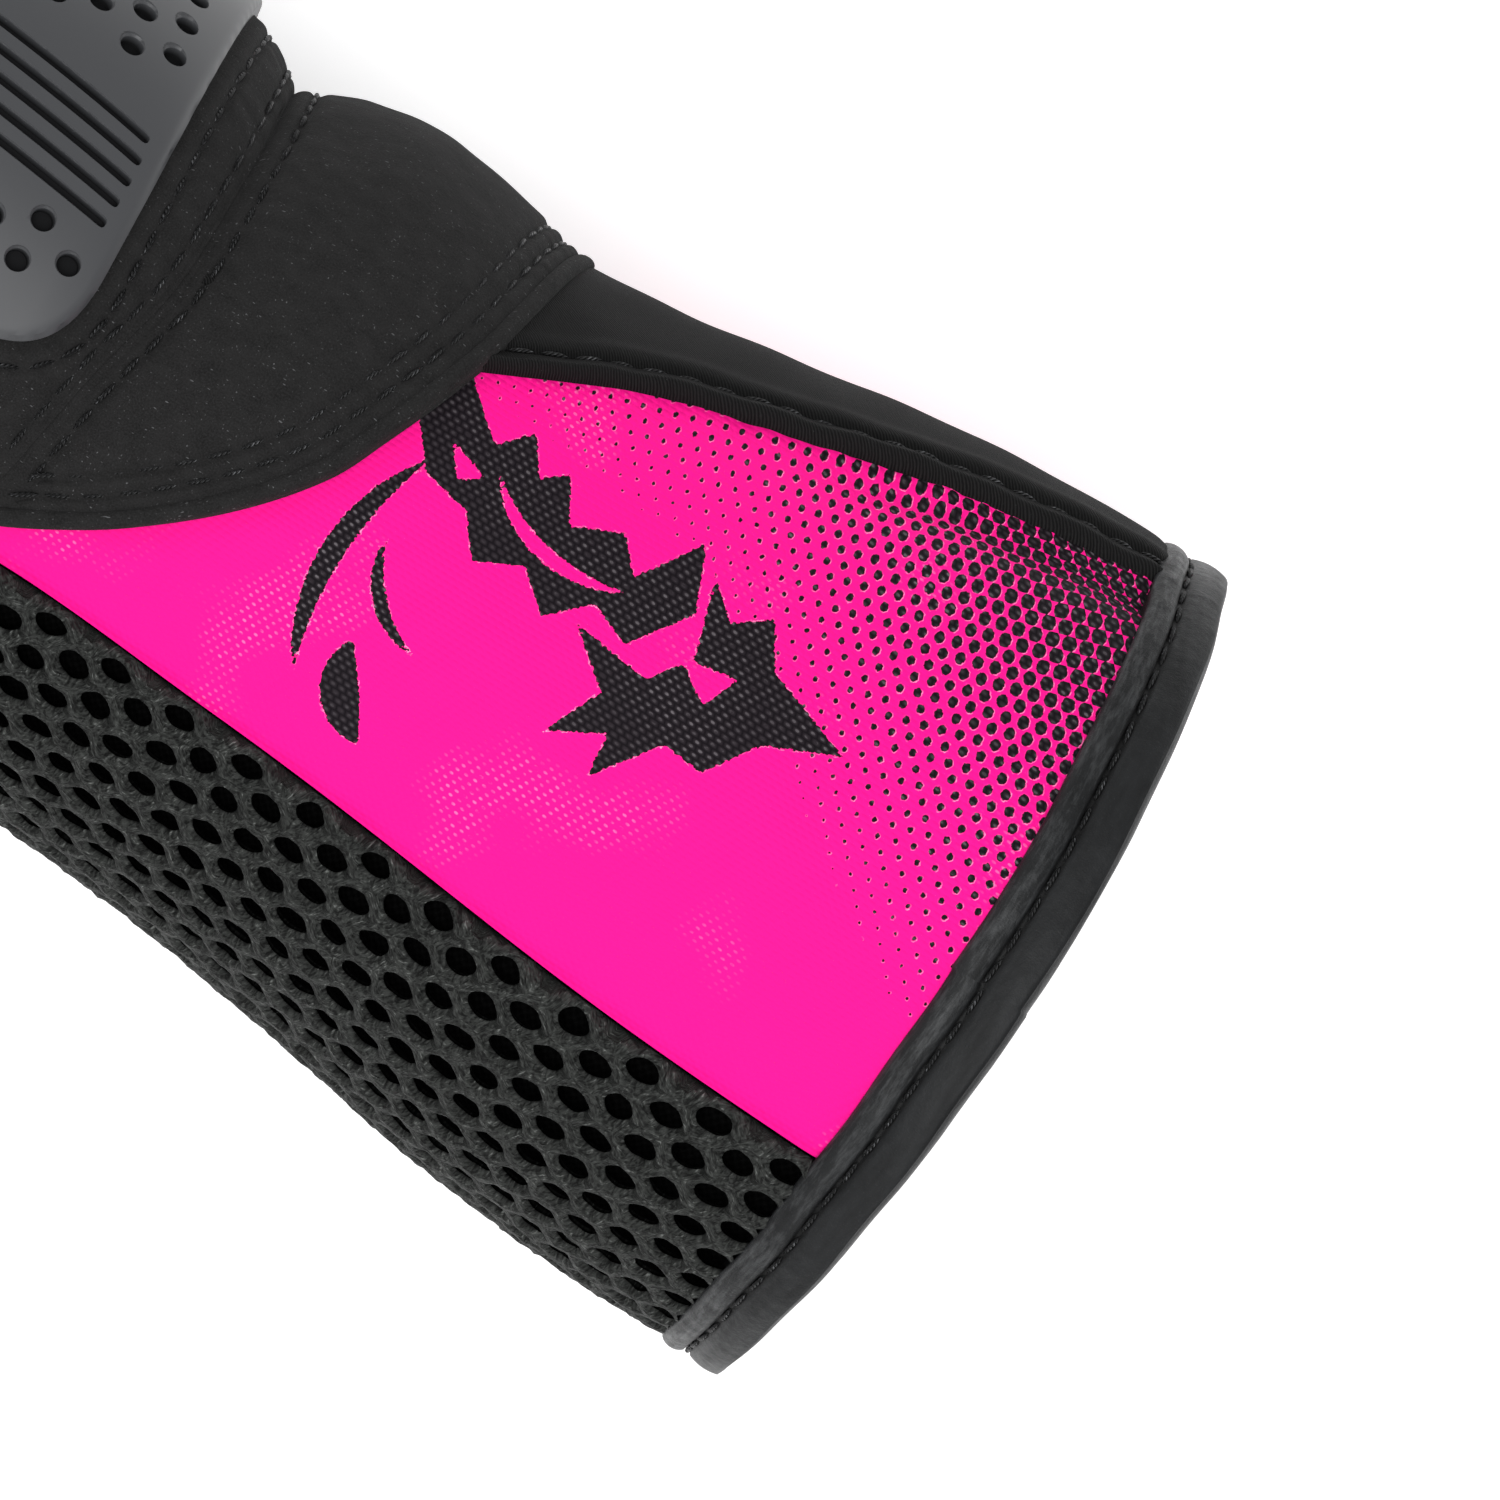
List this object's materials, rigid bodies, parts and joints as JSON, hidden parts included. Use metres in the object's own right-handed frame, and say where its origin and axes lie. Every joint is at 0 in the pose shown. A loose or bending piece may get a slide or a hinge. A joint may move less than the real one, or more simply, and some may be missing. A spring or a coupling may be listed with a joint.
{
  "type": "wrist guard",
  "caption": "Pull-on wrist guard sleeve for the left hand: padded suede palm with a moulded rubber cap, printed side panels, mesh back, bound openings and a hook-and-loop strap.",
  "frame": {"origin": "under the middle of the guard's box, on the surface that it lies on; X = 0 is within 0.1 mm of the wrist's flex line", "axes": "+X along the arm towards the elbow, +Y the palm side with the rubber cap, +Z the thumb side, which faces up; the little-finger side is down"},
  "size_m": [0.169, 0.0731, 0.0647],
  "materials": {
    "printed_knit": "matte printed stretch knit",
    "air_mesh": "matte spacer mesh",
    "twill": "matte twill",
    "suede": "synthetic suede",
    "binding": "smooth coated binding tape",
    "cap_rubber": "satin moulded rubber",
    "foam": "closed-cell foam",
    "splint_plastic": "matte",
    "lining": "matte knit",
    "webbing": "woven webbing",
    "hook_and_loop": "hook and loop pile",
    "gripper": "elastic with silicone dots"
  },
  "bodies": {
    "forearm": {"cuff_binding": "binding", "cuff_gripper_band": "gripper", "dorsal_stay": "splint_plastic", "heel_edge_binding": "binding", "heel_pad_foam": "foam", "mesh_panel_forearm": "air_mesh", "print_panel_little_forearm": "printed_knit", "print_panel_thumb_forearm": "printed_knit", "stay_pocket": "lining", "suede_heel_panel": "suede", "suede_wrist_fold": "suede", "twill_front_panel": "twill", "wrist_stretch_band": "printed_knit"},
    "hand": {"hand_binding": "binding", "mesh_panel_hand": "air_mesh", "palm_lining": "lining", "palm_pad_foam": "foam", "palm_splint": "splint_plastic", "print_panel_thumb_hand": "printed_knit", "print_panel_little_hand": "printed_knit", "rubber_cap": "cap_rubber", "strap_anchor": "webbing", "loop_patch": "hook_and_loop", "suede_cap_surround": "suede", "thumb_binding": "binding", "thumb_panel": "printed_knit"},
    "strap": {"strap_webbing": "webbing", "hook_patch": "hook_and_loop", "strap_pull_tab": "cap_rubber"}
  },
  "joints": [
    {"name": "wrist_flex", "type": "hinge", "parent": "forearm", "child": "hand", "pos_m": [0, 0, 0.0305], "axis": [0, 0, 1], "range_deg": [-10, 15], "stiffness_Nm_per_rad": 0.3, "deforming": ["wrist_stretch_band", "suede_wrist_fold", "dorsal_stay", "stay_pocket"]},
    {"name": "strap_open", "type": "hinge", "parent": "hand", "child": "strap", "pos_m": [-0.0271, -0.0201, 0.0067], "axis": [1, 0, 0], "range_deg": [0, 80]}
  ]
}
